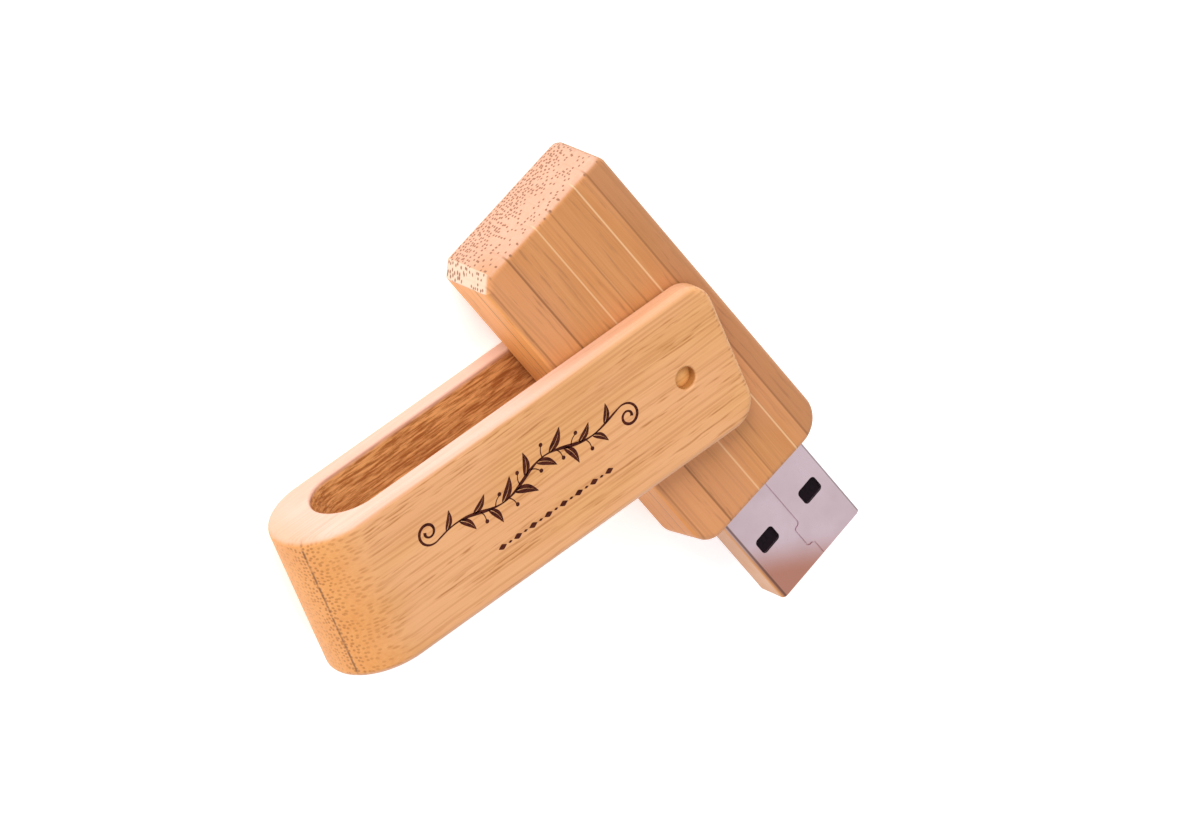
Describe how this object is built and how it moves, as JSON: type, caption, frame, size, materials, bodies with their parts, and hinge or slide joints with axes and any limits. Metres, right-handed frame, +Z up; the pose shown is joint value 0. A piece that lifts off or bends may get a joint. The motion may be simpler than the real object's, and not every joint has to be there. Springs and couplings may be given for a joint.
{
  "type": "usb flash drive",
  "caption": "Swivelling wooden USB flash drive: a flat drive body with a type A plug turns between the two arms of a U-shaped cover.",
  "frame": {"origin": "centre of the flat underside of the cover, which is the cover's back face", "axes": "+X from the cover's closed end towards its open, pivoted end; +Z up, along the pivot and out of the cover's front face; +Y across the cover. With the drive swung straight out, its plug points to +X, past the cover's open end; it rests turned 74.3 degrees clockwise from there, seen from +Z"},
  "size_m": [0.0579, 0.0549, 0.013],
  "materials": {
    "cover_bamboo": "sanded bamboo, satin",
    "body_bamboo": "laminated bamboo, satin",
    "dowel_bamboo": "end grain",
    "pin_steel": "turned",
    "plug_steel": "satin nickel",
    "tongue_plastic": "moulded",
    "contact_gold": "gold flash",
    "board_laminate": "solder mask",
    "chip_resin": "moulded resin",
    "crystal_can": "satin",
    "capacitor_ceramic": "fired",
    "resistor_ceramic": "glazed"
  },
  "bodies": {
    "cover": {"cover_front_ply": "cover_bamboo", "cover_back_ply": "cover_bamboo", "front_pivot_pin": "pin_steel", "back_pivot_pin": "pin_steel", "front_pivot_dowel": "dowel_bamboo", "back_pivot_dowel": "dowel_bamboo"},
    "drive": {"body_lid": "body_bamboo", "body_tray": "body_bamboo", "plug_shell": "plug_steel", "plug_tongue": "tongue_plastic", "contact_power": "contact_gold", "contact_data_minus": "contact_gold", "contact_data_plus": "contact_gold", "contact_ground": "contact_gold", "circuit_board": "board_laminate", "controller_chip": "chip_resin", "flash_chip": "chip_resin", "crystal": "crystal_can", "capacitors": "capacitor_ceramic", "resistors": "resistor_ceramic"}
  },
  "joints": [
    {"name": "swivel", "type": "hinge", "parent": "cover", "child": "drive", "pos_m": [0.019, 0, 0.0065], "axis": [0, 0, 1], "continuous": true}
  ]
}
